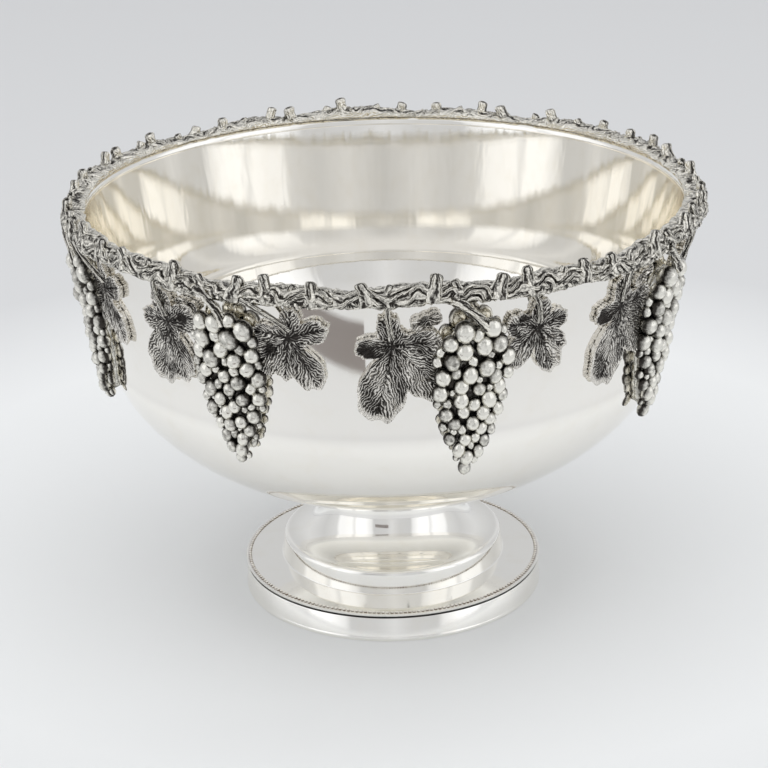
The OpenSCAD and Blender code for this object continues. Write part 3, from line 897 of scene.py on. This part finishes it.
def flat_sheet(name, laid):
    """A flat square sheet of the studio, 1 m wide before the matrix `laid` turns or stretches it.
    Gives the sheet, its material's node tree and its shader."""
    bm = bmesh.new()
    bmesh.ops.create_grid(bm, x_segments=1, y_segments=1, size=0.5, matrix=laid)
    mesh = bpy.data.meshes.new(name)
    bm.to_mesh(mesh)
    bm.free()
    material = bpy.data.materials.new(name)
    material.use_nodes = True
    mesh.materials.append(material)
    sheet = bpy.data.objects.new(name, mesh)
    bpy.context.scene.collection.objects.link(sheet)
    tree = material.node_tree
    return sheet, tree, tree.nodes["Principled BSDF"]


_, tree, paper = flat_sheet("table_top", Matrix.Scale(12, 4))
paper.inputs["Roughness"].default_value = 0.42
paper.inputs["Specular IOR Level"].default_value = 0.3
place = add(tree, "ShaderNodeTexCoord").outputs["Object"]
away = add(tree, "ShaderNodeVectorMath", operation="DISTANCE")
tree.links.new(place, away.inputs[0])
away.inputs[1].default_value = painted_light_middle
# The paper's colour goes from painted light near the foot to painted shade further out
shade = add(tree, "ShaderNodeMix", data_type="RGBA", A=paper_painted_light, B=paper_painted_shade)
tree.links.new(spread(tree, away.outputs["Value"], painted_light_r, painted_shade_r, 0.0, 1.0), shade.inputs["Factor"])
tree.links.new(shade.outputs["Result"], paper.inputs["Base Color"])

# A small grey card hangs in front of the bowl, where only the silver sees it
card, tree, grey = flat_sheet("grey_card", Matrix.Rotation(math.pi / 2, 4, "X"))
card.location = (-0.095, -0.300, 0.132)
card.scale = (0.125, 1, 0.036)
card.visible_camera = False
grey.inputs["Base Color"].default_value = (0.40, 0.36, 0.35, 1)

# The room: bright cloth screens on both sides, a dimmer gap towards the camera and another behind
# the bowl, and a grey ceiling. Each stop is an azimuth from the front and how bright it is there.
screens = [
    (0, 0.74), (12, 0.64), (32, 0.62), (36, 0.88), (48, 1.12), (64, 1.14), (68, 0.86), (74, 1.10),
    (98, 1.02), (104, 0.72), (128, 0.62), (152, 0.72), (180, 0.58),
]
side_light = (1.02, 1.03, 1.05, 1)
ceiling = (0.78, 0.785, 0.80, 1)
world = bpy.data.worlds.new("studio")
bpy.context.scene.world = world
world.use_nodes = True
tree = world.node_tree
place = add(tree, "ShaderNodeTexCoord").outputs["Generated"]
around = add(tree, "ShaderNodeTexGradient", gradient_type="RADIAL")
tree.links.new(place, around.inputs["Vector"])
ramp = add(tree, "ShaderNodeValToRGB")
tree.links.new(around.outputs["Fac"], ramp.inputs["Fac"])
stops = ramp.color_ramp.elements
for az, light in screens + [(-az, light) for az, light in screens[1:-1]]:
    stop = stops.new(((az - 90) / 360 + 0.5) % 1)
    stop.color = (light, 1.01 * light, 1.03 * light, 1)
for end in (0, -1):
    stops[end].color = side_light
split = add(tree, "ShaderNodeSeparateXYZ")
tree.links.new(place, split.inputs["Vector"])
room = add(tree, "ShaderNodeMix", data_type="RGBA", B=ceiling)
tree.links.new(spread(tree, split.outputs["Z"], 0.6, 0.95, 0.0, 1.0), room.inputs["Factor"])
tree.links.new(ramp.outputs["Color"], room.inputs["A"])
tree.links.new(room.outputs["Result"], tree.nodes["Background"].inputs["Color"])

# A broad lamp overhead that lights the paper and isn't seen in the silver
lamp_data = bpy.data.lights.new("overhead_lamp", "AREA")
lamp_data.shape = "SQUARE"
lamp_data.size = 4
lamp_data.energy = 45
lamp = bpy.data.objects.new("overhead_lamp", lamp_data)
bpy.context.scene.collection.objects.link(lamp)
lamp.location = (0, -0.8, 3)
lamp.visible_glossy = False
lamp.visible_camera = False

# Light goes back and forth many times between the walls of a polished bowl
silver_bounces = 28
bpy.context.scene.cycles.max_bounces = silver_bounces
bpy.context.scene.cycles.glossy_bounces = silver_bounces

camera_data = bpy.data.cameras.new("camera")
camera_data.lens = 105.8
camera_data.sensor_width = 36
camera_data.shift_x = -0.0066
camera_data.shift_y = 0.0087
camera_data.clip_start = 0.01
camera = bpy.data.objects.new("camera", camera_data)
bpy.context.scene.collection.objects.link(camera)
aim = Vector((0, 0, 0.1284))
distance = 1.4307
down = math.radians(21.65)
roll = math.radians(-1.34)
back = Vector((0, -math.cos(down), math.sin(down)))
camera.matrix_world = (
    Matrix.Translation(aim + back * distance)
    @ (-back).to_track_quat("-Z", "Y").to_matrix().to_4x4()
    @ Matrix.Rotation(roll, 4, "Z")
)
bpy.context.scene.camera = camera
bpy.context.scene.view_settings.view_transform = "Standard"
